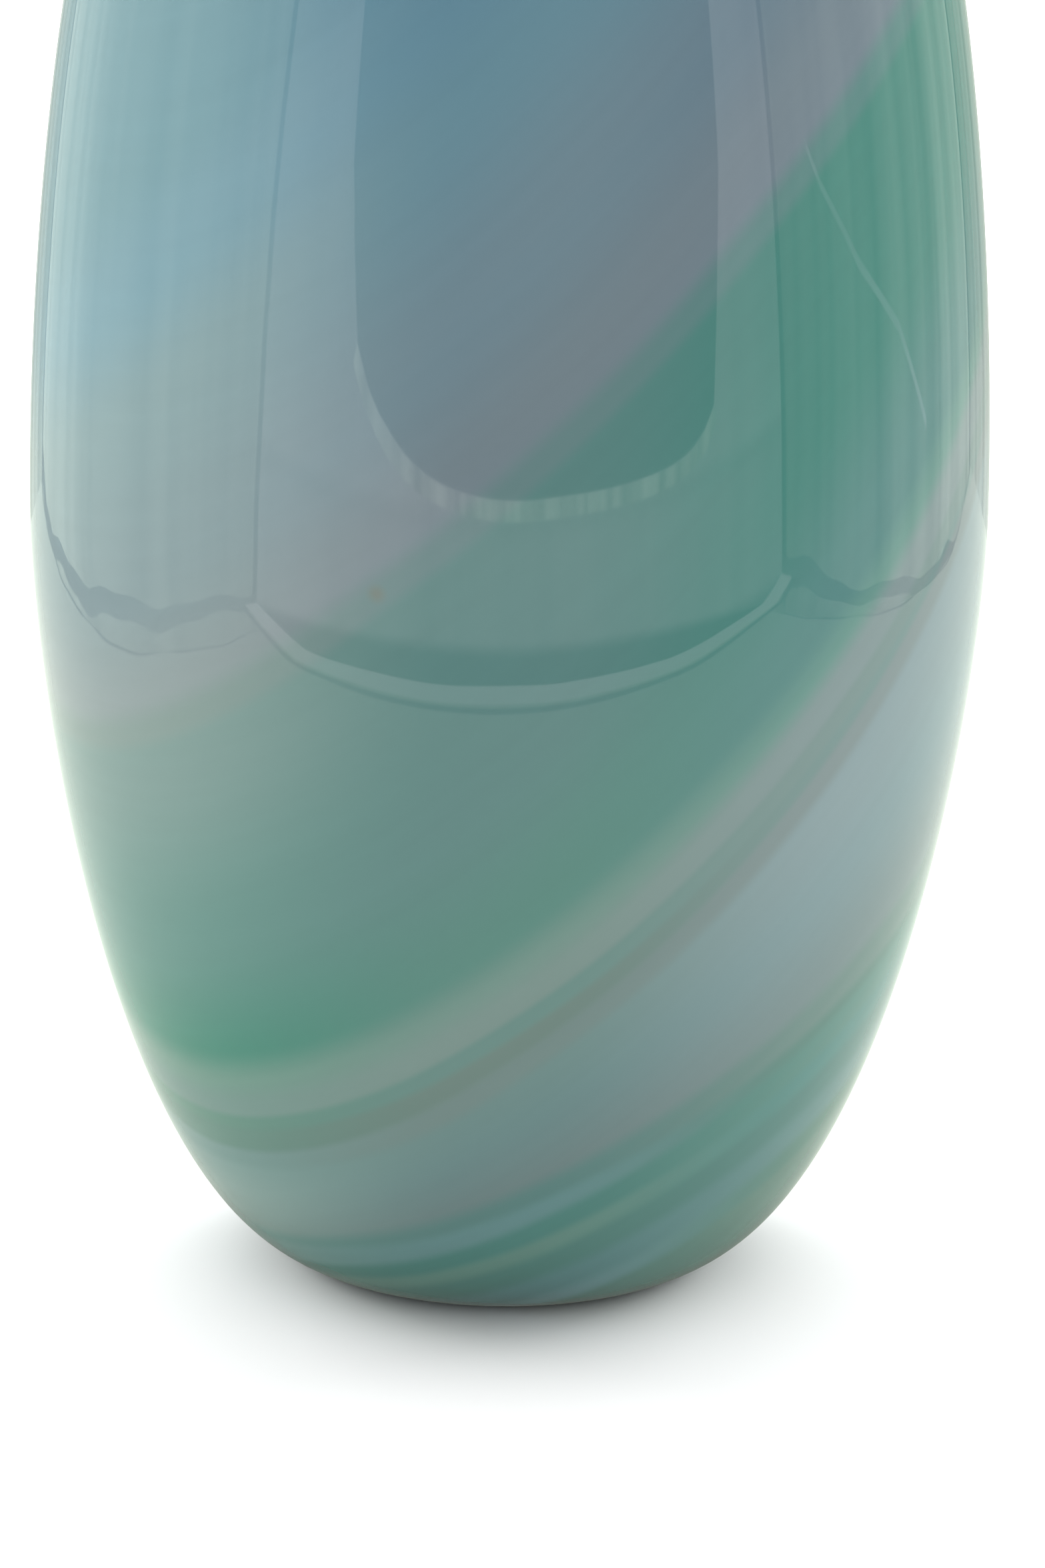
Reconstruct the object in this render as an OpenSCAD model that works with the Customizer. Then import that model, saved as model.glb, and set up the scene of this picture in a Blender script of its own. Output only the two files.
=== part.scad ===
// Hand blown vase in cased glass: a white opal liner, and over it a swirl of
// opaque coloured glass, laid on as separate bands that are fused side by side.
// The foot stands on z = 0 and the vase is round about the z axis.

/* [Vase] */
// Overall height, foot to lip
vase_h = 305; // [290:1:330]
// Largest radius, at the belly
belly_r = 76.5; // [70:0.5:84]
// Height of the belly above the foot
belly_h = 126; // [120:0.5:150]
// Outer radius of the flat foot
foot_r = 30; // [26:0.5:34]
// Outer radius where the shoulder runs into the neck
shoulder_end_r = 42; // [38:0.5:46]
// Radius of the hollow curve of the neck
neck_bend_r = 13.5; // [11:0.5:16]
// How far the lip leans out from upright, in degrees
lip_lean = 35; // [15:1:45]

/* [Glass layers] */
// Colour layer on the wall
colour_t = 2.4; // [1.8:0.1:3]
// Colour layer under the floor
colour_floor = 4.4; // [4:0.1:6]
// White opal liner on the wall
liner_t = 3.6; // [3:0.1:4.5]
// White opal liner at the floor
liner_floor = 8; // [6:0.1:9]
// Height over which the thick floor thins into the wall
floor_blend_h = 46; // [36:1:60]

/* [Ground foot] */
// Radius of the hollow ground where the pontil was cracked off
pontil_r = 19; // [12:0.5:22]
// Depth of that hollow
pontil_depth = 2; // [1:0.1:2.5]

/* [Colour swirl] */
// Slope of the fine streaks around the foot, in degrees
streak_slope = 31.5; // [26:0.5:34]
// Slope of the thin trails under the green band
trail_slope = 45.5; // [40:0.5:48]
// Slope of the wide bands above the belly
sweep_slope = 47; // [42:1:50]
// Shift of the whole swirl up the vase
swirl_shift = 0; // [-6:0.5:6]

/* [Hidden] */

$fn = 96;
wall_t = colour_t + liner_t;

// The outer outline is two cubic curves that meet upright at the belly.
heel_rise = 8.5;
shoulder_rise = 37;
heel_pull = 33.5;
belly_pull_down = 29;
belly_pull_up = 47.5;
shoulder_pull = 34.5;

// The neck turns from the shoulder's direction to the lip's, about a centre outside the glass.
neck_from = 270 - shoulder_rise;
neck_to = 180 - lip_lean;
bead_r = wall_t / 2;
bead_top = bead_r * (sin(lip_lean) + 1);
neck_h = neck_bend_r * (sin(neck_to) - sin(neck_from));
shoulder_end_h = vase_h - bead_top - neck_h;
neck_centre = [shoulder_end_r + neck_bend_r * sin(shoulder_rise),
               shoulder_end_h + neck_bend_r * cos(shoulder_rise)];

lower_curve = [[foot_r, 0],
               [foot_r + heel_pull * cos(heel_rise), heel_pull * sin(heel_rise)],
               [belly_r, belly_h - belly_pull_down],
               [belly_r, belly_h]];
upper_curve = [[belly_r, belly_h],
               [belly_r, belly_h + belly_pull_up],
               [shoulder_end_r + shoulder_pull * cos(shoulder_rise),
                shoulder_end_h - shoulder_pull * sin(shoulder_rise)],
               [shoulder_end_r, shoulder_end_h]];

function unit(v) = v / norm(v);
function inward(d) = unit([-d[1], d[0]]);
function curve_at(c, t) =
    pow(1 - t, 3) * c[0] + 3 * pow(1 - t, 2) * t * c[1] + 3 * (1 - t) * t * t * c[2] + t * t * t * c[3];
function curve_dir(c, t) =
    pow(1 - t, 2) * (c[1] - c[0]) + 2 * (1 - t) * t * (c[2] - c[1]) + t * t * (c[3] - c[2]);
function polar(r, a) = [r * cos(a), r * sin(a)];

// Stations along the outside, each a point and the direction into the glass.
foot_steps = 2;
lower_steps = 16;
upper_steps = 14;
neck_steps = 6;
stations = concat(
    [for (i = [0:foot_steps - 1]) [[foot_r * i / foot_steps, 0], [0, 1]]],
    [[[foot_r, 0], unit([0, 1] + inward(curve_dir(lower_curve, 0)))]],
    [for (i = [1:lower_steps]) let (t = i / lower_steps)
        [curve_at(lower_curve, t), inward(curve_dir(lower_curve, t))]],
    [for (i = [1:upper_steps]) let (t = i / upper_steps)
        [curve_at(upper_curve, t), inward(curve_dir(upper_curve, t))]],
    [for (i = [1:neck_steps]) let (a = neck_from + (neck_to - neck_from) * i / neck_steps)
        [neck_centre + polar(neck_bend_r, a), polar(1, a)]]);

// A surface under the outside: its depth goes from floor to wall as the heel rises.
function fade(z) = let (u = min(1, z / floor_blend_h)) 1 - u * u * (3 - 2 * u);
function inset(wall, floor) =
    [for (s = stations) s[0] + s[1] * (wall + (floor - wall) * fade(s[0][1]))];
function reversed(list) = [for (i = [len(list) - 1:-1:0]) list[i]];

outside = inset(0, 0);
under_colour = inset(colour_t, colour_floor);
inside = inset(wall_t, colour_floor + liner_floor);

// The fire-polished lip is a bead across the full wall. The colour meets the liner in it.
bead_steps = 5;
bead_split = acos(1 - colour_t / bead_r);
lip = stations[len(stations) - 1];
lip_along = [lip[1][1], -lip[1][0]];
function bead(from, to) = [for (i = [0:bead_steps]) let (a = from + (to - from) * i / bead_steps)
    lip[0] + lip[1] * bead_r * (1 - cos(a)) + lip_along * bead_r * sin(a)];

pontil_sphere_r = (pontil_r * pontil_r + pontil_depth * pontil_depth) / (2 * pontil_depth);

// Bearing of the low side of each boundary, counted from the front towards the right.
// It turns as the swirl climbs.
streak_turn = -67.5;
trail_turn = -58;
mauve_turn = -75.5;
sky_turn = -84.5;
aqua_turn = -90.5;
shoulder_turn = -98;
lip_turn = -104;
// The mauve band lies this much flatter than the bands above it.
mauve_ease = 3;

// Colour boundaries, foot to lip: height on the axis, slope and bearing.
cut_blue = [10 + swirl_shift, streak_slope, streak_turn];
cut_teal = [16.5 + swirl_shift, streak_slope, streak_turn];
cut_olive = [22.5 + swirl_shift, streak_slope, streak_turn];
cut_green = [27 + swirl_shift, streak_slope, streak_turn];
cut_aqua = [31 + swirl_shift, streak_slope, streak_turn];
cut_lilac = [36 + swirl_shift, streak_slope, streak_turn];
cut_mauve_trail = [82 + swirl_shift, trail_slope, trail_turn];
cut_green_trail = [86.5 + swirl_shift, trail_slope, trail_turn];
cut_pale_lilac = [93.5 + swirl_shift, trail_slope, trail_turn];
cut_sea_green = [107 + swirl_shift, trail_slope, trail_turn];
cut_mauve = [167.5 + swirl_shift, sweep_slope - mauve_ease, mauve_turn];
cut_sky = [204.5 + swirl_shift, sweep_slope, sky_turn];
cut_pale_aqua = [241 + swirl_shift, sweep_slope, aqua_turn];
cut_shoulder = [284 + swirl_shift, sweep_slope, shoulder_turn];
cut_lip = [306 + swirl_shift, sweep_slope, lip_turn];
reach = 4 * vase_h;

// Everything above a colour boundary
module above(cut) {
    translate([0, 0, cut[0]])
        rotate([0, 0, cut[2] - 90])
            rotate([0, cut[1], 0])
                translate([-reach / 2, -reach / 2, 0])
                    cube(reach);
}

module colour_shell() {
    difference() {
        rotate_extrude()
            polygon(concat(outside, bead(0, bead_split), reversed(under_colour)));
        translate([0, 0, pontil_depth - pontil_sphere_r])
            sphere(pontil_sphere_r);
    }
}

// The part of the colour shell between two boundaries
module swirl_band(low, high) {
    difference() {
        intersection() {
            colour_shell();
            above(low);
        }
        above(high);
    }
}

module opal_liner() {
    color("#eef2ee")
        rotate_extrude()
            polygon(concat(under_colour, bead(bead_split, 180), reversed(inside)));
}

module deep_green_base() {
    color("#7f9c86")
        difference() {
            colour_shell();
            above(cut_blue);
        }
}

module pale_blue_trail() {
    color("#9fb4bd") swirl_band(cut_blue, cut_teal);
}

module teal_streak() {
    color("#6d9a94") swirl_band(cut_teal, cut_olive);
}

module olive_trail() {
    color("#8fa58e") swirl_band(cut_olive, cut_green);
}

module green_streak() {
    color("#62978a") swirl_band(cut_green, cut_aqua);
}

module aqua_streak() {
    color("#7ba3ae") swirl_band(cut_aqua, cut_lilac);
}

module blue_lilac_band() {
    color("#8e9dae") swirl_band(cut_lilac, cut_mauve_trail);
}

module mauve_trail() {
    color("#8d9094") swirl_band(cut_mauve_trail, cut_green_trail);
}

module green_trail() {
    color("#86a395") swirl_band(cut_green_trail, cut_pale_lilac);
}

module pale_lilac_band() {
    color("#a3a9ab") swirl_band(cut_pale_lilac, cut_sea_green);
}

module sea_green_band() {
    color("#6f9a8b") swirl_band(cut_sea_green, cut_mauve);
}

module mauve_band() {
    color("#8a8f9c") swirl_band(cut_mauve, cut_sky);
}

module sky_blue_band() {
    color("#7c9fb2") swirl_band(cut_sky, cut_pale_aqua);
}

module pale_aqua_band() {
    color("#a9c3c8") swirl_band(cut_pale_aqua, cut_shoulder);
}

module shoulder_green_band() {
    color("#7fa795") swirl_band(cut_shoulder, cut_lip);
}

module lip_lilac_band() {
    color("#9b9dab")
        intersection() {
            colour_shell();
            above(cut_lip);
        }
}

opal_liner();
deep_green_base();
pale_blue_trail();
teal_streak();
olive_trail();
green_streak();
aqua_streak();
blue_lilac_band();
mauve_trail();
green_trail();
pale_lilac_band();
sea_green_band();
mauve_band();
sky_blue_band();
pale_aqua_band();
shoulder_green_band();
lip_lilac_band();
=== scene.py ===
import math

import bpy
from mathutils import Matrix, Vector


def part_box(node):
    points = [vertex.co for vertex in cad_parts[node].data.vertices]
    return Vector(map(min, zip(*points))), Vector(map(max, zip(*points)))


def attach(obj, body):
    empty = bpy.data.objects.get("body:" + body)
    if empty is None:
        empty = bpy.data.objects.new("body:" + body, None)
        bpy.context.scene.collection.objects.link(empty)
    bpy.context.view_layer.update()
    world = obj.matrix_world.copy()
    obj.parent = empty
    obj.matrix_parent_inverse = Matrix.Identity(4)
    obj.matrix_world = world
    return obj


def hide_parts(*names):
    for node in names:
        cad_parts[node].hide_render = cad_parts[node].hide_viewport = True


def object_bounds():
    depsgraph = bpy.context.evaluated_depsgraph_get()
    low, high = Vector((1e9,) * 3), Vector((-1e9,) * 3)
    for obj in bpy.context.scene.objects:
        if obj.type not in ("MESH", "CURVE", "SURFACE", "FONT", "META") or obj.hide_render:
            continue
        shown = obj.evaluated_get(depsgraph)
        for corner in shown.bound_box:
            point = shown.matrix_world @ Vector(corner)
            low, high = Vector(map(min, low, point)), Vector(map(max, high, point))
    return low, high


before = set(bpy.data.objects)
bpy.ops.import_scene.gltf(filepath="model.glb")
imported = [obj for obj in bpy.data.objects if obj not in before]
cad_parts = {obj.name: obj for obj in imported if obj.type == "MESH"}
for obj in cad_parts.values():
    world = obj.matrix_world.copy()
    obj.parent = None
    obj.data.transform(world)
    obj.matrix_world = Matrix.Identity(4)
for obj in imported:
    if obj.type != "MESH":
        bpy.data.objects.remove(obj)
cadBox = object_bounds()
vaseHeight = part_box("opal_liner")[1].z
bellyRadius = cadBox[1][0]
mm = 0.001
print("frame loaded:", len(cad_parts), "pieces of glass")


def newMesh(name, points, faces, edges=()):
    mesh = bpy.data.meshes.new(name)
    mesh.from_pydata([tuple(p) for p in points], list(edges), faces)
    piece = bpy.data.objects.new(name, mesh)
    bpy.context.scene.collection.objects.link(piece)
    return piece


def newMaterial(name):
    material = bpy.data.materials.new(name)
    material.use_nodes = True
    return material, material.node_tree


def addNode(tree, kind, **values):
    # a value is set on the node itself, or on the input of that name
    node = tree.nodes.new(kind)
    for name, value in values.items():
        if hasattr(node, name):
            setattr(node, name, value)
        else:
            node.inputs[name.replace("_", " ")].default_value = value
    return node


def noiseLevel(tree, noise, low, high):
    # a noise texture hardly leaves 0.3 to 0.7, so that much is spread from low to high
    level = addNode(tree, "ShaderNodeMapRange", From_Min=0.3, From_Max=0.7, To_Min=low, To_Max=high)
    tree.links.new(noise.outputs[0], level.inputs["Value"])
    return level.outputs["Result"]


def distanceOut(tree, place):
    # how far a point is from the middle of the vase's foot
    distance = addNode(tree, "ShaderNodeVectorMath", operation="LENGTH")
    tree.links.new(place.outputs["Object"], distance.inputs[0])
    return distance.outputs["Value"]


# camera and stage come first, then the glass
view = {
    "distance": 1.3,
    "elevation": 16.0,
    "aimHeight": 0.0782,
    "aimRight": 0.0027,
    "roll": 0.73,
    "lens": 185.08,
    "sensor": 36.0,
    "farthest": 50.0,
}


def makeCamera():
    data = bpy.data.cameras.new("camera")
    data.sensor_width = view["sensor"]
    data.lens = view["lens"]
    data.clip_end = view["farthest"]
    camera = bpy.data.objects.new("camera", data)
    bpy.context.scene.collection.objects.link(camera)
    tilt = math.radians(view["elevation"])
    aim = Vector((view["aimRight"], 0, view["aimHeight"]))
    back = Vector((0, -math.cos(tilt), math.sin(tilt)))
    camera.location = aim + back * view["distance"]
    turn = back.to_track_quat("Z", "Y").to_matrix().to_4x4()
    spin = turn.Rotation(math.radians(view["roll"]), 4, "Z")
    camera.rotation_euler = (turn @ spin).to_euler()
    bpy.context.scene.camera = camera


# the tent of white cloth that stands round the vase: only its mirror image in the glass is seen
tent = {
    "left": -0.35,
    "right": 0.43,
    "back": 0.46,
    "height": 0.62,
    "front": -0.342,        # the front cloth bulges out, farthest at frontMiddle
    "frontMiddle": 0.03,
    "frontBulge": 0.75,
    "frontLean": (0.14, 0.1),       # how far it leans out for its height, left and right
    "cornerLift": [(-0.26, -0.35, 0.027), (0.22, 0.43, 0.028)],     # from x, to x, height
    "opening": {
        "middle": 0.0465,
        "half": 0.255,
        "sill": 0.097,
        "spring": 0.2,
        "squareness": (3.1, 6.5),       # left and right
    },
    "rimWidth": 0.007,
    "rimStop": 0.01,        # the rim ends this far under the spring of the arch
    "seamWidth": 0.013,
    "sideOverlap": 0.2,     # how far the side cloths run on past the front one
    # strips of the floor before the front cloth: name, cloth, near and far edge
    "frontHems": [("Hem", "hem", 0, 0.025), ("HemShade", "seam", 0.029, 0.036)],
    "sideHem": (0.001, 0.005),
    "sideShade": {"Left": (0.014, 0.028, -0.04), "Right": (0.011, 0.025, -0.065)},  # low, high, tilt
    "hemWave": 0.003,
    # a bright crease in the right side cloth
    "fold": [(-0.15, 0.19), (-0.121, 0.172), (-0.041, 0.138), (0.061, 0.107), (0.148, 0.066)],
    "foldWidth": 0.004,
    "floorReach": 3.0,
    # how far each sheet stands in front of what it lies on
    "gaps": {"floor": 0.0006, "seam": 0.001, "hem": 0.0012, "opening": 0.002, "rim": 0.003},
}
farTint = (0.93, 1.0, 0.88)
brightest = 4.0     # a colour ramp only holds values up to one, so it holds light as a share of this
foldNoise = {"scale": 24, "detail": 3, "squash": 0.06}      # squashed in z, so the folds run upright
# the light of each cloth by height, or for the floor by distance from the vase
cloths = {
    "front": {
        "light": [
            (0, 0.05), (0.02, 0.12), (0.032, 1.35), (0.08, 1.45), (0.087, 1.2), (0.093, 1.65), (0.13, 1.4),
        ],
        "folds": 0.1,
    },
    # the opening is a dark sheet: painted shade where the unlit room beyond the tent would be
    "opening": {"light": [(0, 0.05)]},
    "rim": {"light": [(0, 2.0)], "folds": 0.45, "foldScale": 60, "tint": farTint},
    "side": {"light": [(0, 1.0), (0.012, 1.15), (0.03, 1.25), (0.3, 1.2)], "folds": 0.28, "tint": farTint},
    "back": {"light": [(0, 1.0), (0.05, 0.75)], "folds": 0.28, "tint": farTint},
    # the floor sheet is darkest next to the vase's foot: a painted shadow, seen only in the glass's
    # reflection
    "floor": {
        "light": [
            (0.029, 0.04), (0.034, 0.16), (0.045, 0.36), (0.056, 0.7), (0.075, 0.98), (0.11, 1.15),
            (0.2, 1.25),
        ],
        "tint": farTint,
        "round": True,
    },
    "hem": {"light": [(0, 1.9)]},
    "seam": {"light": [(0, 0.35)]},
    "shade": {"light": [(0, 0.45)]},
}


def makeCloth(name, cloth):
    # the light of the cloth, which upright folds make streaky
    material, tree = newMaterial(name + "Cloth")
    tree.nodes.clear()
    link = tree.links.new
    folds = cloth.get("folds", 0.0)
    place = addNode(tree, "ShaderNodeTexCoord")
    ramp = addNode(tree, "ShaderNodeValToRGB")
    stretch = addNode(tree, "ShaderNodeMapping", Scale=(1, 1, foldNoise["squash"]))
    noise = addNode(tree, "ShaderNodeTexNoise", Detail=foldNoise["detail"])
    noise.inputs["Scale"].default_value = cloth.get("foldScale", foldNoise["scale"])
    depth = noiseLevel(tree, noise, brightest * (1 - folds), brightest * (1 + folds))
    strength = addNode(tree, "ShaderNodeMath", operation="MULTIPLY")
    glow = addNode(tree, "ShaderNodeEmission", Color=cloth.get("tint", (1, 1, 1)) + (1,))
    out = addNode(tree, "ShaderNodeOutputMaterial")
    elements = ramp.color_ramp.elements
    while len(elements) < len(cloth["light"]):
        elements.new(1.0)
    if len(cloth["light"]) == 1:
        elements.remove(elements[1])
    for element, (position, value) in zip(elements, cloth["light"]):
        element.position = position
        element.color = (value / brightest,) * 3 + (1,)
    if cloth.get("round"):
        link(distanceOut(tree, place), ramp.inputs["Fac"])
    else:
        split = addNode(tree, "ShaderNodeSeparateXYZ")
        link(place.outputs["Object"], split.inputs[0])
        link(split.outputs["Z"], ramp.inputs["Fac"])
    link(place.outputs["Object"], stretch.inputs["Vector"])
    link(stretch.outputs[0], noise.inputs["Vector"])
    link(ramp.outputs["Color"], strength.inputs[0])
    link(depth, strength.inputs[1])
    link(strength.outputs[0], glow.inputs["Strength"])
    link(glow.outputs[0], out.inputs["Surface"])
    return material


clothMaterials = {name: makeCloth(name, cloth) for name, cloth in cloths.items()}


def tentSheet(name, cloth, points, faces):
    sheet = newMesh("tent" + name, points, faces)
    sheet.data.materials.append(clothMaterials[cloth])
    sheet.visible_camera = False
    sheet.visible_diffuse = False
    sheet.visible_shadow = False
    sheet.visible_transmission = False


def curtain(name, cloth, base, head):
    # a sheet from one line of points to another
    count = len(base)
    faces = [(i, i + 1, count + i + 1, count + i) for i in range(count - 1)]
    tentSheet(name, cloth, base + head, faces)


def frontLine(x, forward=0.0):
    return tent["front"] + forward + tent["frontBulge"] * (x - tent["frontMiddle"]) ** 2


def cornerLift(x):
    # the cloth is drawn up off the floor near both front corners
    for start, end, lift in tent["cornerLift"]:
        share = (x - start) / (end - start)
        if share > 0:
            return lift * share**1.5
    return 0.0


def frontLean(x):
    # how much farther out the front cloth is at its head than at its foot
    share = (x - tent["left"]) / (tent["right"] - tent["left"])
    onLeft, onRight = tent["frontLean"]
    return tent["height"] * (onLeft + (onRight - onLeft) * share)


def frontFoot(forward, low, steps=48):
    xs = [tent["left"] + (tent["right"] - tent["left"]) * i / steps for i in range(steps + 1)]
    return [(x, frontLine(x, forward), low + cornerLift(x)) for x in xs]


def openingEdge(steps=16):
    # half of a rounded box on each side, squarer on the right
    o = tent["opening"]
    points = []
    for sign, power in zip((-1, 1), o["squareness"]):
        side = []
        for i in range(steps + 1):
            u = i / steps
            drop = (1 - u**power) ** (1 / power)
            x = o["middle"] + sign * o["half"] * u
            side.append((x, o["spring"] - (o["spring"] - o["sill"]) * drop))
        points = side[::-1] if sign < 0 else points[:-1] + side
    return points


def hangFront():
    # the front cloth, its arched opening with a bright frayed rim, and its hem on the floor
    t, gaps = tent, tent["gaps"]
    foot = frontFoot(0, 0)
    curtain("Front", "front", foot, [(x, y - frontLean(x), t["height"]) for x, y, _ in foot])
    edge = openingEdge()
    low = [(x, frontLine(x, gaps["opening"]), z) for x, z in edge]
    curtain("Opening", "opening", low, [(x, y, t["height"]) for x, y, _ in low])
    o, width = t["opening"], t["rimWidth"]
    rim = [(x, frontLine(x, gaps["rim"]), z) for x, z in edge if z < o["spring"] - t["rimStop"]]
    outer = [(x + width * (x - o["middle"]) / o["half"], y, z - width) for x, y, z in rim]
    curtain("Rim", "rim", rim, outer)
    for name, cloth, near, far in t["frontHems"]:
        curtain(name, cloth, frontFoot(near, gaps["hem"]), frontFoot(far, gaps["hem"]))


def hemWave(y):
    # two waves of unlike length, so that the hem lies unevenly
    return tent["hemWave"] * (math.sin(31 * y) + 0.5 * math.sin(74 * y + 1))


def hangSide(side, x, inwards, steps=40):
    # a side cloth, the seams at its two corners, its hem line on the floor and a shaded tuck above it
    t, gaps = tent, tent["gaps"]
    corner = frontLine(x)
    foot = [(x, corner - t["sideOverlap"], 0), (x, t["back"], 0)]
    curtain("Wall" + side, "side", foot, [(x, y, t["height"]) for _, y, _ in foot])
    near = x + gaps["seam"] * inwards
    width = t["seamWidth"]
    ends = [("Front", corner, cornerLift(x), frontLean(x)), ("Back", t["back"] - width, 0, 0)]
    for end, y, lift, lean in ends:
        foot = [(near, y, lift), (near, y + width, 0)]
        curtain("Piping" + side + end, "seam", foot, [(near, q - lean, t["height"]) for _, q, _ in foot])
    along = [corner + (t["back"] - corner) * i / steps for i in range(steps + 1)]
    hem = [[(x + inwards * (away + hemWave(y)), y, gaps["hem"]) for y in along] for away in t["sideHem"]]
    curtain("HemLine" + side, "seam", hem[0], hem[1])
    low, high, tilt = t["sideShade"][side]
    tuck = []
    for rise in (low, high):
        tuck.append([(near, y, max(gaps["seam"], rise + tilt * y + hemWave(y))) for y in along])
    curtain("HemShade" + side, "shade", tuck[0], tuck[1])


def makeTent():
    t, gaps = tent, tent["gaps"]
    hangFront()
    hangSide("Left", t["left"], 1)
    hangSide("Right", t["right"], -1)
    fold = [(t["right"] - gaps["seam"], y, z) for y, z in t["fold"]]
    curtain("Fold", "hem", fold, [(x, y, z + t["foldWidth"]) for x, y, z in fold])
    foot = [(t["left"], t["back"], 0), (t["right"], t["back"], 0)]
    curtain("Back", "back", foot, [(x, y, t["height"]) for x, y, _ in foot])
    r, z = t["floorReach"], gaps["floor"]
    curtain("Floor", "floor", [(-r, -r, z), (r, -r, z)], [(-r, r, z), (r, r, z)])


lamps = {
    "worldLight": 1.15,
    "top": {"power": 4.0, "size": (1.2, 1.2), "place": (0, 0, 1.1), "turn": (0, 0, 0)},
    "back": {"power": 20.0, "size": (2.4, 1.0), "place": (0, 1.3, 1.1), "turn": (-50, 0, 0)},
    "left": {"power": 9.5, "size": (0.6, 0.3), "place": (-0.6, 0.5, 0.2), "turn": (80, 0, -130)},
    "right": {"power": 9.5, "size": (0.6, 0.3), "place": (0.6, 0.5, 0.2), "turn": (80, 0, 130)},
}
paper = {"reach": 12.0, "tone": (0.745, 0.97), "fade": (0.2, 0.7)}      # near and far


def makeSoftbox(name):
    values = lamps[name]
    data = bpy.data.lights.new(name + "Softbox", "AREA")
    data.shape = "RECTANGLE"
    data.size, data.size_y = values["size"]
    data.energy = values["power"]
    lamp = bpy.data.objects.new(name + "Softbox", data)
    lamp.location = values["place"]
    lamp.rotation_euler = [math.radians(a) for a in values["turn"]]
    lamp.visible_camera = False
    lamp.visible_glossy = False
    bpy.context.scene.collection.objects.link(lamp)
    return lamp


def makeFloor():
    # the paper is paler away from the vase, out of the low lamps' reach
    r = paper["reach"]
    floor = newMesh("floor", [(-r, -r, 0), (r, -r, 0), (r, r, 0), (-r, r, 0)], [(0, 1, 2, 3)])
    material, tree = newMaterial("floorPaper")
    shader = tree.nodes["Principled BSDF"]
    shader.inputs["Roughness"].default_value = 1.0
    shader.inputs["Specular IOR Level"].default_value = 0.0
    place = addNode(tree, "ShaderNodeTexCoord")
    tone = addNode(tree, "ShaderNodeMapRange")
    tone.inputs["From Min"].default_value, tone.inputs["From Max"].default_value = paper["fade"]
    tone.inputs["To Min"].default_value, tone.inputs["To Max"].default_value = paper["tone"]
    tree.links.new(distanceOut(tree, place), tone.inputs["Value"])
    tree.links.new(tone.outputs["Result"], shader.inputs["Base Color"])
    floor.data.materials.append(material)
    return floor


def makeStudio():
    world = bpy.data.worlds.new("studio")
    bpy.context.scene.world = world
    world.use_nodes = True
    sky = world.node_tree.nodes["Background"]
    sky.inputs["Color"].default_value = (1, 1, 1, 1)
    sky.inputs["Strength"].default_value = lamps["worldLight"]
    makeSoftbox("top")
    makeSoftbox("back")
    floorOnly = bpy.data.collections.new("floorOnly")
    floorOnly.objects.link(makeFloor())
    for name in ("left", "right"):
        makeSoftbox(name).light_linking.receiver_collection = floorOnly
    bpy.context.scene.view_settings.view_transform = "Standard"


makeCamera()
makeTent()
makeStudio()
print("camera and stage made")


# the turned outline, in radius and height, from the centre of the foot to the lip
outline = {
    "footRadius": 30 * mm,
    "bellyHeight": 126 * mm,
    "shoulderEnd": 42 * mm,
    "neckBend": 13.5 * mm,
    "lipLean": 35,
    "heelRise": 8.5,
    "shoulderRise": 37,
    "heelPull": 33.5 * mm,
    "bellyPullDown": 29 * mm,
    "bellyPullUp": 47.5 * mm,
    "shoulderPull": 34.5 * mm,
    "pontilRadius": 19 * mm,
    "pontilDepth": 2 * mm,
    "steps": {"foot": 12, "lower": 80, "upper": 66, "neck": 22, "bead": 22},
}
glass = {
    "colour": 2.4 * mm,
    "colourFloor": 4.4 * mm,
    "liner": 3.6 * mm,
    "linerFloor": 8 * mm,
    "floorBlend": 46 * mm,
    "sides": 256,
    "waveDepth": 0.12 * mm,
    "waveSize": 9.0,
    "seed": 4.0,
    "poleOffset": 10 * mm,      # radius of the ring that carries the outline round
    "cutReach": 4,              # side of a cutting block, in heights of the vase
    "ior": 1.43,
    "opal": (0.70, 0.74, 0.70),
}
wallThickness = glass["colour"] + glass["liner"]
beadRadius = wallThickness / 2


def polar(radius, degrees):
    angle = math.radians(degrees)
    return Vector((radius * math.cos(angle), radius * math.sin(angle)))


def inward(direction):
    return Vector((-direction.y, direction.x)).normalized()


def curvePoint(c, t):
    u = 1 - t
    return c[0] * u**3 + c[1] * 3 * u * u * t + c[2] * 3 * u * t * t + c[3] * t**3


def curveInward(c, t):
    u = 1 - t
    return inward((c[1] - c[0]) * u * u + (c[2] - c[1]) * 2 * u * t + (c[3] - c[2]) * t * t)


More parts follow.
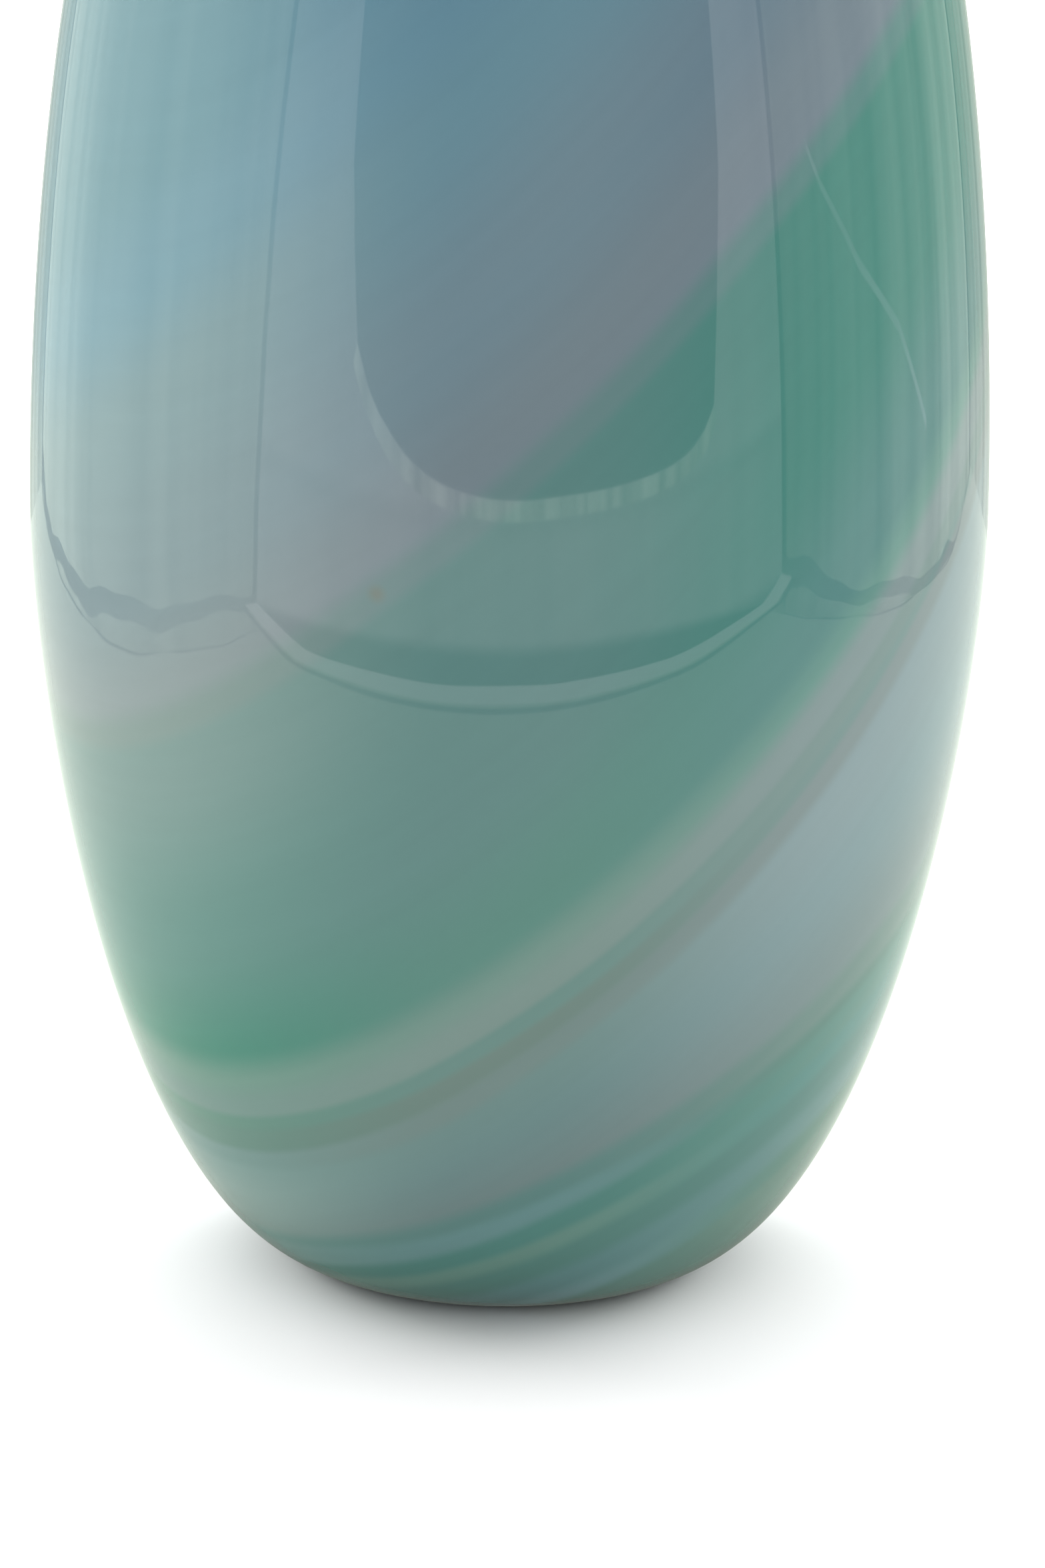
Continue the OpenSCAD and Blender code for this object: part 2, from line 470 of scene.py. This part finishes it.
def makeStations():
    # each station is a point on the outside and the direction into the glass
    o, steps = outline, outline["steps"]
    neckFrom = 270 - o["shoulderRise"]
    neckTo = 180 - o["lipLean"]
    beadTop = beadRadius * (1 + math.sin(math.radians(o["lipLean"])))
    neckHeight = polar(o["neckBend"], neckTo).y - polar(o["neckBend"], neckFrom).y
    shoulderEnd = Vector((o["shoulderEnd"], vaseHeight - beadTop - neckHeight))
    neckCentre = shoulderEnd - polar(o["neckBend"], neckFrom)
    foot = Vector((o["footRadius"], 0))
    belly = Vector((bellyRadius, o["bellyHeight"]))
    lower = [foot, foot + polar(o["heelPull"], o["heelRise"]), belly - Vector((0, o["bellyPullDown"])), belly]
    shoulderPull = polar(o["shoulderPull"], 180 - o["shoulderRise"])
    upper = [belly, belly + Vector((0, o["bellyPullUp"])), shoulderEnd - shoulderPull, shoulderEnd]
    stations = [(foot * (i / steps["foot"]), Vector((0, 1))) for i in range(steps["foot"])]
    stations.append((foot, (Vector((0, 1)) + curveInward(lower, 0)).normalized()))
    for curve, count in ((lower, steps["lower"]), (upper, steps["upper"])):
        for i in range(1, count + 1):
            stations.append((curvePoint(curve, i / count), curveInward(curve, i / count)))
    for i in range(1, steps["neck"] + 1):
        angle = neckFrom + (neckTo - neckFrom) * i / steps["neck"]
        stations.append((neckCentre + polar(o["neckBend"], angle), polar(1, angle)))
    return stations


stations = makeStations()


def inset(wallDepth, floorDepth):
    points = []
    for point, into in stations:
        u = min(1, point.y / glass["floorBlend"])
        fade = 1 - u * u * (3 - 2 * u)
        points.append(point + into * (wallDepth + (floorDepth - wallDepth) * fade))
    return points


def bead(fromAngle, toAngle):
    # the fire-polished lip, a half round across the whole wall
    point, into = stations[-1]
    along = Vector((into.y, -into.x))
    count = outline["steps"]["bead"]
    points = []
    for i in range(count + 1):
        angle = math.radians(fromAngle + (toAngle - fromAngle) * i / count)
        across = into * beadRadius * (1 - math.cos(angle))
        points.append(point + across + along * beadRadius * math.sin(angle))
    return points


def groundFoot(points):
    # the shallow round hollow ground into the underside
    r, d = outline["pontilRadius"], outline["pontilDepth"]
    ball = (r * r + d * d) / (2 * d)
    ground = []
    for point in points:
        if point.y < 1e-6 and point.x < r:
            point = Vector((point.x, math.sqrt(ball * ball - point.x * point.x) - ball + d))
        ground.append(point)
    return ground


beadSplit = math.degrees(math.acos(1 - glass["colour"] / beadRadius))
underColour = inset(glass["colour"], glass["colourFloor"])
inside = inset(wallThickness, glass["colourFloor"] + glass["linerFloor"])
colourOutline = groundFoot(inset(0, 0)) + bead(0, beadSplit)[1:] + underColour[::-1]
linerOutline = underColour + bead(beadSplit, 180)[:-1] + inside[::-1]
print("outline laid out:", len(stations), "stations")


# geometry nodes turn an outline about the axis, make it a little uneven, as handwork is, and cut it
# into bands
def newTree(name, inputs):
    tree = bpy.data.node_groups.new(name, "GeometryNodeTree")
    for label, kind in inputs:
        tree.interface.new_socket(label, in_out="INPUT", socket_type="NodeSocket" + kind)
    tree.interface.new_socket("Geometry", in_out="OUTPUT", socket_type="NodeSocketGeometry")
    return tree, tree.nodes.new("NodeGroupInput"), tree.nodes.new("NodeGroupOutput")


turnedInputs = [
    ("Geometry", "Geometry"),
    ("Sides", "Int"),
    ("Pole Offset", "Float"),
    ("Wave Depth", "Float"),
    ("Wave Size", "Float"),
    ("Seed", "Float"),
]


def makeTurnedTree():
    tree, given, out = newTree("turnedGlass", turnedInputs)
    link = tree.links.new
    toCurve = addNode(tree, "GeometryNodeMeshToCurve")
    ring = addNode(tree, "GeometryNodeCurvePrimitiveCircle")
    turn = addNode(tree, "GeometryNodeCurveToMesh")
    weld = addNode(tree, "GeometryNodeMergeByDistance", Distance=1e-6)
    flip = addNode(tree, "GeometryNodeFlipFaces")
    place = addNode(tree, "GeometryNodeInputPosition")
    noise = addNode(tree, "ShaderNodeTexNoise", noise_dimensions="4D", Detail=1.0)
    depth = addNode(tree, "ShaderNodeMath", operation="MULTIPLY")
    outwards = addNode(tree, "ShaderNodeVectorMath", operation="MULTIPLY")
    outwards.inputs[1].default_value = (1, 1, 0)
    unit = addNode(tree, "ShaderNodeVectorMath", operation="NORMALIZE")
    push = addNode(tree, "ShaderNodeVectorMath", operation="SCALE")
    move = addNode(tree, "GeometryNodeSetPosition")
    smooth = addNode(tree, "GeometryNodeSetShadeSmooth")
    normal = addNode(tree, "GeometryNodeInputNormal")
    keep = addNode(tree, "GeometryNodeStoreNamedAttribute", data_type="FLOAT_VECTOR", domain="CORNER")
    keep.inputs["Name"].default_value = "turnedNormal"
    link(given.outputs["Geometry"], toCurve.inputs["Mesh"])
    link(given.outputs["Sides"], ring.inputs["Resolution"])
    link(given.outputs["Pole Offset"], ring.inputs["Radius"])
    link(ring.outputs["Curve"], turn.inputs["Curve"])
    link(toCurve.outputs["Curve"], turn.inputs["Profile Curve"])
    link(turn.outputs["Mesh"], weld.inputs["Geometry"])
    link(weld.outputs["Geometry"], flip.inputs["Mesh"])
    link(flip.outputs["Mesh"], move.inputs["Geometry"])
    link(given.outputs["Seed"], noise.inputs["W"])
    link(given.outputs["Wave Size"], noise.inputs["Scale"])
    link(place.outputs[0], noise.inputs["Vector"])
    link(noise.outputs[0], depth.inputs[0])
    link(given.outputs["Wave Depth"], depth.inputs[1])
    link(place.outputs[0], outwards.inputs[0])
    link(outwards.outputs[0], unit.inputs[0])
    link(unit.outputs[0], push.inputs[0])
    link(depth.outputs[0], push.inputs["Scale"])
    link(push.outputs[0], move.inputs["Offset"])
    link(move.outputs["Geometry"], smooth.inputs["Geometry"])
    link(smooth.outputs["Geometry"], keep.inputs["Geometry"])
    link(normal.outputs[0], keep.inputs["Value"])
    link(keep.outputs["Geometry"], out.inputs[0])
    return tree


bandInputs = turnedInputs + [
    ("Low Height", "Float"),
    ("Low Turn", "Vector"),
    ("High Height", "Float"),
    ("High Turn", "Vector"),
    ("Reach", "Float"),
    ("Material", "Material"),
]


def endTree(tree, geometry, given, out):
    real = addNode(tree, "GeometryNodeRealizeInstances")
    paint = addNode(tree, "GeometryNodeSetMaterial")
    tree.links.new(geometry, real.inputs["Geometry"])
    tree.links.new(real.outputs["Geometry"], paint.inputs["Geometry"])
    tree.links.new(given.outputs["Material"], paint.inputs["Material"])
    tree.links.new(paint.outputs["Geometry"], out.inputs[0])


def makeLinerTree(turned):
    # the whole turned body in one material
    tree, given, out = newTree("turnedLiner", turnedInputs + [("Material", "Material")])
    body = addNode(tree, "GeometryNodeGroup")
    body.node_tree = turned
    for label, _ in turnedInputs:
        tree.links.new(given.outputs[label], body.inputs[label])
    endTree(tree, body.outputs["Geometry"], given, out)
    return tree


def makeBandTree(turned):
    # what is above the low cut and not above the high cut
    tree, given, out = newTree("swirlBand", bandInputs)
    link = tree.links.new
    body = addNode(tree, "GeometryNodeGroup")
    body.node_tree = turned
    for label, _ in turnedInputs:
        link(given.outputs[label], body.inputs[label])
    blockSize = addNode(tree, "ShaderNodeCombineXYZ")
    for socket in blockSize.inputs:
        link(given.outputs["Reach"], socket)
    block = addNode(tree, "GeometryNodeMeshCube")
    link(blockSize.outputs[0], block.inputs["Size"])
    half = addNode(tree, "ShaderNodeMath", operation="MULTIPLY")
    half.inputs[1].default_value = 0.5
    link(given.outputs["Reach"], half.inputs[0])
    lift = addNode(tree, "ShaderNodeCombineXYZ")
    link(half.outputs[0], lift.inputs["Z"])
    raised = addNode(tree, "GeometryNodeTransform")
    link(block.outputs["Mesh"], raised.inputs["Geometry"])
    link(lift.outputs[0], raised.inputs["Translation"])
    current = body.outputs["Geometry"]
    for end, operation in (("Low", "INTERSECT"), ("High", "DIFFERENCE")):
        height = addNode(tree, "ShaderNodeCombineXYZ")
        tilted = addNode(tree, "GeometryNodeTransform")
        cut = addNode(tree, "GeometryNodeMeshBoolean", operation=operation, solver="MANIFOLD")
        link(given.outputs[end + " Height"], height.inputs["Z"])
        link(raised.outputs["Geometry"], tilted.inputs["Geometry"])
        link(height.outputs[0], tilted.inputs["Translation"])
        link(given.outputs[end + " Turn"], tilted.inputs["Rotation"])
        link(current, cut.inputs[0 if operation == "DIFFERENCE" else 1])
        link(tilted.outputs["Geometry"], cut.inputs[1])
        current = cut.outputs["Mesh"]
    endTree(tree, current, given, out)
    return tree


def bake(name, points, tree, settings):
    # runs a tree on an outline and makes the result a plain mesh, in a new object
    laid = [(p.x - glass["poleOffset"], -p.y, 0) for p in points]
    start = newMesh(name + "Outline", laid, [], [(i, i + 1) for i in range(len(laid) - 1)])
    modifier = start.modifiers.new("made", "NODES")
    modifier.node_group = tree
    for item in tree.interface.items_tree:
        if item.in_out == "INPUT" and item.name in settings:
            modifier[item.identifier] = settings[item.name]
    graph = bpy.context.evaluated_depsgraph_get()
    mesh = bpy.data.meshes.new_from_object(start.evaluated_get(graph))
    bpy.data.objects.remove(start)
    mesh.name = name
    piece = bpy.data.objects.new(name, mesh)
    bpy.context.scene.collection.objects.link(piece)
    return piece


turnedTree = makeTurnedTree()
linerTree = makeLinerTree(turnedTree)
bandTree = makeBandTree(turnedTree)


# the swirl, foot to lip: the name of the streak, where its lower edge meets the axis, that edge's slope,
# the bearing of its low side counted from the front towards the right, how soft it is, and the colour
# on the left, in the middle and on the right, in millimetres and degrees; those three colours are partly
# the glass's own and partly painted light and shade, most streaks lighter towards the edges than in the
# middle
swirl = [
    ("foot", -30, 31, -67, 2, (0.08, 0.18, 0.16), (0.08, 0.18, 0.16), (0.09, 0.19, 0.15)),
    ("footLine", 6.5, 31, -67, 1.5, (0.12, 0.23, 0.23), (0.12, 0.23, 0.24), (0.06, 0.17, 0.13)),
    ("paleBlue", 10, 31.5, -68, 2, (0.08, 0.19, 0.18), (0.08, 0.18, 0.18), (0.09, 0.20, 0.19)),
    ("greyTeal", 16.5, 31, -67.5, 2, (0.07, 0.17, 0.14), (0.06, 0.16, 0.14), (0.07, 0.18, 0.16)),
    ("paleStreak", 22.5, 31, -67.5, 1.6, (0.09, 0.19, 0.16), (0.09, 0.19, 0.16), (0.07, 0.20, 0.18)),
    ("green", 27, 31.5, -66.5, 1.4, (0.06, 0.17, 0.14), (0.05, 0.16, 0.14), (0.08, 0.20, 0.17)),
    ("aqua", 31, 32, -68, 1.5, (0.13, 0.25, 0.22), (0.09, 0.19, 0.19), (0.08, 0.18, 0.15)),
    ("olive", 36, 30.5, -65.5, 1.5, (0.10, 0.23, 0.20), (0.07, 0.16, 0.15), (0.12, 0.20, 0.18)),
    ("greyBlue", 40, 32, -67, 2.1, (0.17, 0.27, 0.24), (0.11, 0.16, 0.16), (0.15, 0.21, 0.21)),
    ("blueLilac", 49.5, 36, -65, 11, (0.21, 0.31, 0.28), (0.10, 0.18, 0.18), (0.17, 0.25, 0.26)),
    ("lilac", 65.5, 40, -62, 8.5, (0.15, 0.26, 0.24), (0.11, 0.19, 0.18), (0.19, 0.26, 0.27)),
    ("mauveTrail", 82, 46, -57, 1.8, (0.13, 0.24, 0.22), (0.12, 0.18, 0.17), (0.17, 0.22, 0.22)),
    ("greenTrail", 86.5, 46, -57.5, 1.2, (0.09, 0.20, 0.16), (0.11, 0.17, 0.15), (0.14, 0.22, 0.21)),
    ("paleTrail", 90.5, 45, -57, 1.1, (0.09, 0.21, 0.16), (0.10, 0.19, 0.17), (0.15, 0.22, 0.21)),
    ("paleLilac", 93.5, 45, -58, 1.1, (0.13, 0.23, 0.20), (0.14, 0.21, 0.19), (0.17, 0.23, 0.23)),
    ("oliveGreen", 100.5, 45.5, -58.5, 3.2, (0.12, 0.24, 0.19), (0.12, 0.21, 0.18), (0.10, 0.22, 0.19)),
    ("brightGreen", 107, 45.5, -58, 4.2, (0.03, 0.19, 0.13), (0.07, 0.18, 0.15), (0.07, 0.18, 0.17)),
    ("greyGreen", 120.5, 46.5, -64, 16, (0.10, 0.22, 0.19), (0.08, 0.17, 0.16), (0.04, 0.17, 0.14)),
    ("softGreen", 142, 43.5, -70, 17.5, (0.16, 0.25, 0.23), (0.08, 0.17, 0.16), (0.04, 0.17, 0.14)),
    ("mauveEdge", 162.5, 44, -74.5, 1.8, (0.18, 0.25, 0.23), (0.10, 0.17, 0.17), (0.07, 0.17, 0.16)),
    ("mauve", 167.5, 44, -75.5, 2.8, (0.21, 0.26, 0.26), (0.13, 0.17, 0.19), (0.12, 0.16, 0.19)),
    ("blueMauve", 184.5, 46.5, -77, 12, (0.19, 0.26, 0.27), (0.12, 0.18, 0.21), (0.09, 0.14, 0.18)),
    ("skyBlue", 204.5, 47, -84.5, 16.5, (0.19, 0.28, 0.29), (0.10, 0.19, 0.23), (0.06, 0.17, 0.23)),
    ("blue", 224, 47, -87, 10, (0.16, 0.28, 0.32), (0.09, 0.18, 0.23), (0.09, 0.18, 0.23)),
    ("paleAqua", 241, 47, -90.5, 8, (0.15, 0.27, 0.30), (0.06, 0.15, 0.21), (0.06, 0.16, 0.21)),
    ("shoulderGreen", 284, 47, -98, 6, (0.12, 0.24, 0.20), (0.09, 0.19, 0.17), (0.08, 0.18, 0.15)),
    ("lipLilac", 306, 47, -104, 6, (0.19, 0.24, 0.27), (0.15, 0.20, 0.24), (0.14, 0.19, 0.24)),
]
# the fades between the left, middle and right colours, which carry painted light and shade as well as the
# glass's colour
sideLightFades = [(-55, -5), (5, 55)]        # from left to middle, and from middle to right
drift = {"scale": 14, "detail": 1.5, "reach": 4}        # how the edges wander
streaks = {"lie": (45, -66), "scale": 300, "detail": 4, "stretch": 0.06, "depth": 0.014}
specks = {
    "places": [
        ((-0.0195, -0.0738, 0.1290), 0.0022),
        ((0.047, 0.052, 0.158), 0.0018),
        ((-0.07, 0.02, 0.094), 0.0015),
    ],
    "colour": (0.16, 0.14, 0.09),
    "strength": 0.55,
}
polish = {"roughness": (0.015, 0.04), "scale": 30, "rippleScale": 50, "rippleDepth": 0.03}


def softStep(tree, value, low, high, top=1.0):
    step = addNode(tree, "ShaderNodeMapRange", interpolation_type="SMOOTHSTEP",
                   From_Min=low, From_Max=high, To_Max=top)
    tree.links.new(value, step.inputs["Value"])
    return step.outputs["Result"]


def mixColours(tree, name, factor, first, second):
    mix = addNode(tree, "ShaderNodeMix", data_type="RGBA", label=name)
    tree.links.new(factor, mix.inputs["Factor"])
    for socket, colour in (("A", first), ("B", second)):
        if isinstance(colour, tuple):
            mix.inputs[socket].default_value = colour + (1,)
        else:
            tree.links.new(colour, mix.inputs[socket])
    return mix.outputs["Result"]


def axisHeight(tree, place, slope, bearing):
    # the height at which a tilted plane through this point meets the axis
    rise = math.tan(math.radians(slope))
    turn = math.radians(bearing)
    dot = addNode(tree, "ShaderNodeVectorMath", operation="DOT_PRODUCT")
    dot.inputs[1].default_value = (rise * math.sin(turn), -rise * math.cos(turn), 1)
    tree.links.new(place, dot.inputs[0])
    return dot.outputs["Value"]


def wander(tree, place):
    # points moved about a little, so that no edge is quite straight
    noise = addNode(tree, "ShaderNodeTexNoise", Scale=drift["scale"], Detail=drift["detail"])
    centred = addNode(tree, "ShaderNodeVectorMath", operation="SUBTRACT")
    centred.inputs[1].default_value = (0.5, 0.5, 0.5)
    moved = addNode(tree, "ShaderNodeVectorMath", operation="MULTIPLY_ADD")
    moved.inputs[1].default_value = (drift["reach"] * mm,) * 3
    tree.links.new(place, noise.inputs["Vector"])
    tree.links.new(noise.outputs["Color"], centred.inputs[0])
    tree.links.new(centred.outputs[0], moved.inputs[0])
    tree.links.new(place, moved.inputs[2])
    return moved.outputs[0]


def addStreaks(tree, moved, colour):
    # fine streaks drawn out along the bands
    thin = addNode(tree, "ShaderNodeVectorMath", operation="SCALE", Scale=streaks["stretch"])
    laid = addNode(tree, "ShaderNodeCombineXYZ")
    joined = addNode(tree, "ShaderNodeVectorMath", operation="ADD")
    noise = addNode(tree, "ShaderNodeTexNoise", Scale=streaks["scale"], Detail=streaks["detail"])
    shaded = addNode(tree, "ShaderNodeVectorMath", operation="SCALE")
    link = tree.links.new
    link(moved, thin.inputs[0])
    link(axisHeight(tree, moved, *streaks["lie"]), laid.inputs["X"])
    link(laid.outputs[0], joined.inputs[0])
    link(thin.outputs[0], joined.inputs[1])
    link(joined.outputs[0], noise.inputs["Vector"])
    link(colour, shaded.inputs[0])
    link(noiseLevel(tree, noise, 1 - streaks["depth"], 1 + streaks["depth"]), shaded.inputs["Scale"])
    return shaded.outputs[0]


def addSpecks(tree, moved, colour):
    # small brown specks of stone caught in the glass
    for centre, radius in specks["places"]:
        away = addNode(tree, "ShaderNodeVectorMath", operation="DISTANCE")
        away.inputs[1].default_value = centre
        tree.links.new(moved, away.inputs[0])
        cover = softStep(tree, away.outputs["Value"], radius, 0, specks["strength"])
        colour = mixColours(tree, "speck", cover, colour, specks["colour"])
    return colour


def makeSwirlGroup():
    tree = bpy.data.node_groups.new("fusedSwirl", "ShaderNodeTree")
    tree.interface.new_socket("Color", in_out="OUTPUT", socket_type="NodeSocketColor")
    out = tree.nodes.new("NodeGroupOutput")
    place = addNode(tree, "ShaderNodeTexCoord").outputs["Object"]
    split = addNode(tree, "ShaderNodeSeparateXYZ")
    tree.links.new(place, split.inputs[0])
    # each streak's colour is blended from left through middle to right, painted light and shade included
    sides = [softStep(tree, split.outputs["X"], low * mm, high * mm) for low, high in sideLightFades]
    moved = wander(tree, place)
    colour = None
    for name, height, slope, bearing, soft, left, middle, right in swirl:
        streak = mixColours(tree, name, sides[0], left, middle)
        streak = mixColours(tree, name, sides[1], streak, right)
        if colour is None:
            colour = streak
            continue
        level = axisHeight(tree, moved, slope, bearing)
        edge = softStep(tree, level, (height - soft) * mm, (height + soft) * mm)
        colour = mixColours(tree, name + "Edge", edge, colour, streak)
    colour = addStreaks(tree, moved, colour)
    colour = addSpecks(tree, moved, colour)
    tree.links.new(colour, out.inputs[0])
    return tree


swirlGroup = makeSwirlGroup()


def addPolish(tree, shader):
    # fire-polished glass: nearly a mirror, with a very shallow ripple
    link = tree.links.new
    place = addNode(tree, "ShaderNodeTexCoord")
    cloud = addNode(tree, "ShaderNodeTexNoise", Scale=polish["scale"])
    rough = addNode(tree, "ShaderNodeMapRange")
    rough.inputs["To Min"].default_value, rough.inputs["To Max"].default_value = polish["roughness"]
    ripple = addNode(tree, "ShaderNodeTexNoise", Scale=polish["rippleScale"], Detail=1)
    bump = addNode(tree, "ShaderNodeBump", Distance=polish["rippleDepth"] * mm)
    link(place.outputs["Object"], cloud.inputs["Vector"])
    link(place.outputs["Object"], ripple.inputs["Vector"])
    link(cloud.outputs[0], rough.inputs["Value"])
    link(rough.outputs["Result"], shader.inputs["Roughness"])
    link(ripple.outputs[0], bump.inputs["Height"])
    link(bump.outputs["Normal"], shader.inputs["Normal"])


def makeColourGlass(name):
    material, tree = newMaterial(name)
    shader = tree.nodes["Principled BSDF"]
    colour = addNode(tree, "ShaderNodeGroup", node_tree=swirlGroup)
    tree.links.new(colour.outputs[0], shader.inputs["Base Color"])
    shader.inputs["IOR"].default_value = glass["ior"]
    addPolish(tree, shader)
    return material


def makeOpalGlass():
    material, tree = newMaterial("opalWhite")
    shader = tree.nodes["Principled BSDF"]
    shader.inputs["Base Color"].default_value = glass["opal"] + (1,)
    addPolish(tree, shader)
    return material


# where the glass is cut into bands: height on the axis, slope and bearing
cuts = [
    (10, 31.5, -67.5), (16.5, 31.5, -67.5), (22.5, 31.5, -67.5), (27, 31.5, -67.5), (31, 31.5, -67.5),
    (36, 31.5, -67.5), (82, 45.5, -58), (86.5, 45.5, -58), (93.5, 45.5, -58), (107, 45.5, -58),
    (167.5, 44, -75.5), (204.5, 47, -84.5), (241, 47, -90.5), (284, 47, -98), (306, 47, -104),
]
lowestCut, highestCut = (-500, 0, 0), (900, 0, 0)      # level, and clear of the vase
bands = [
    ("deep_green_base", "deep_green_glass"),
    ("pale_blue_trail", "pale_blue_glass"),
    ("teal_streak", "teal_glass"),
    ("olive_trail", "olive_glass"),
    ("green_streak", "green_glass"),
    ("aqua_streak", "aqua_glass"),
    ("blue_lilac_band", "blue_lilac_glass"),
    ("mauve_trail", "mauve_trail_glass"),
    ("green_trail", "green_trail_glass"),
    ("pale_lilac_band", "pale_lilac_glass"),
    ("sea_green_band", "sea_green_glass"),
    ("mauve_band", "mauve_glass"),
    ("sky_blue_band", "sky_blue_glass"),
    ("pale_aqua_band", "pale_aqua_glass"),
    ("shoulder_green_band", "shoulder_green_glass"),
    ("lip_lilac_band", "lip_lilac_glass"),
]


def keepTurnedNormals(piece, leastLength=0.5, leastAgreement=0.7):
    # the glass is one smooth polished surface across every fused edge, but the cut faces stay flat
    mesh = piece.data
    kept = mesh.attributes.get("turnedNormal")
    if kept is None:
        print("no turned normals on", piece.name)
        return
    normals = []
    for face in mesh.polygons:
        for corner in face.loop_indices:
            smooth = Vector(kept.data[corner].vector)
            agreement = smooth.normalized().dot(face.normal)
            if smooth.length > leastLength and agreement > leastAgreement:
                normals.append(smooth.normalized())
            else:
                normals.append(face.normal.copy())
    mesh.attributes.remove(kept)
    mesh.normals_split_custom_set(normals)


def finishPiece(piece, node):
    keepTurnedNormals(piece)
    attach(piece, "root")
    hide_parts(node)


common = {
    "Sides": glass["sides"],
    "Pole Offset": glass["poleOffset"],
    "Wave Depth": -glass["waveDepth"],
    "Wave Size": glass["waveSize"],
    "Seed": glass["seed"],
}


def makeBands():
    reach = glass["cutReach"] * vaseHeight
    levels = [lowestCut] + cuts + [highestCut]
    for (node, slot), low, high in zip(bands, levels, levels[1:]):
        settings = dict(common, Reach=reach, Material=makeColourGlass(slot))
        for end, (height, slope, bearing) in (("Low", low), ("High", high)):
            settings[end + " Height"] = height * mm
            settings[end + " Turn"] = (0, math.radians(slope), math.radians(bearing - 90))
        piece = bake(node + "_glass", colourOutline, bandTree, settings)
        finishPiece(piece, node)
        print(node, len(piece.data.polygons))


def makeLiner():
    settings = dict(common, Material=makeOpalGlass())
    piece = bake("opal_liner_glass", linerOutline, linerTree, settings)
    finishPiece(piece, "opal_liner")


makeLiner()
print("liner blown")
makeBands()
print("bands laid on")
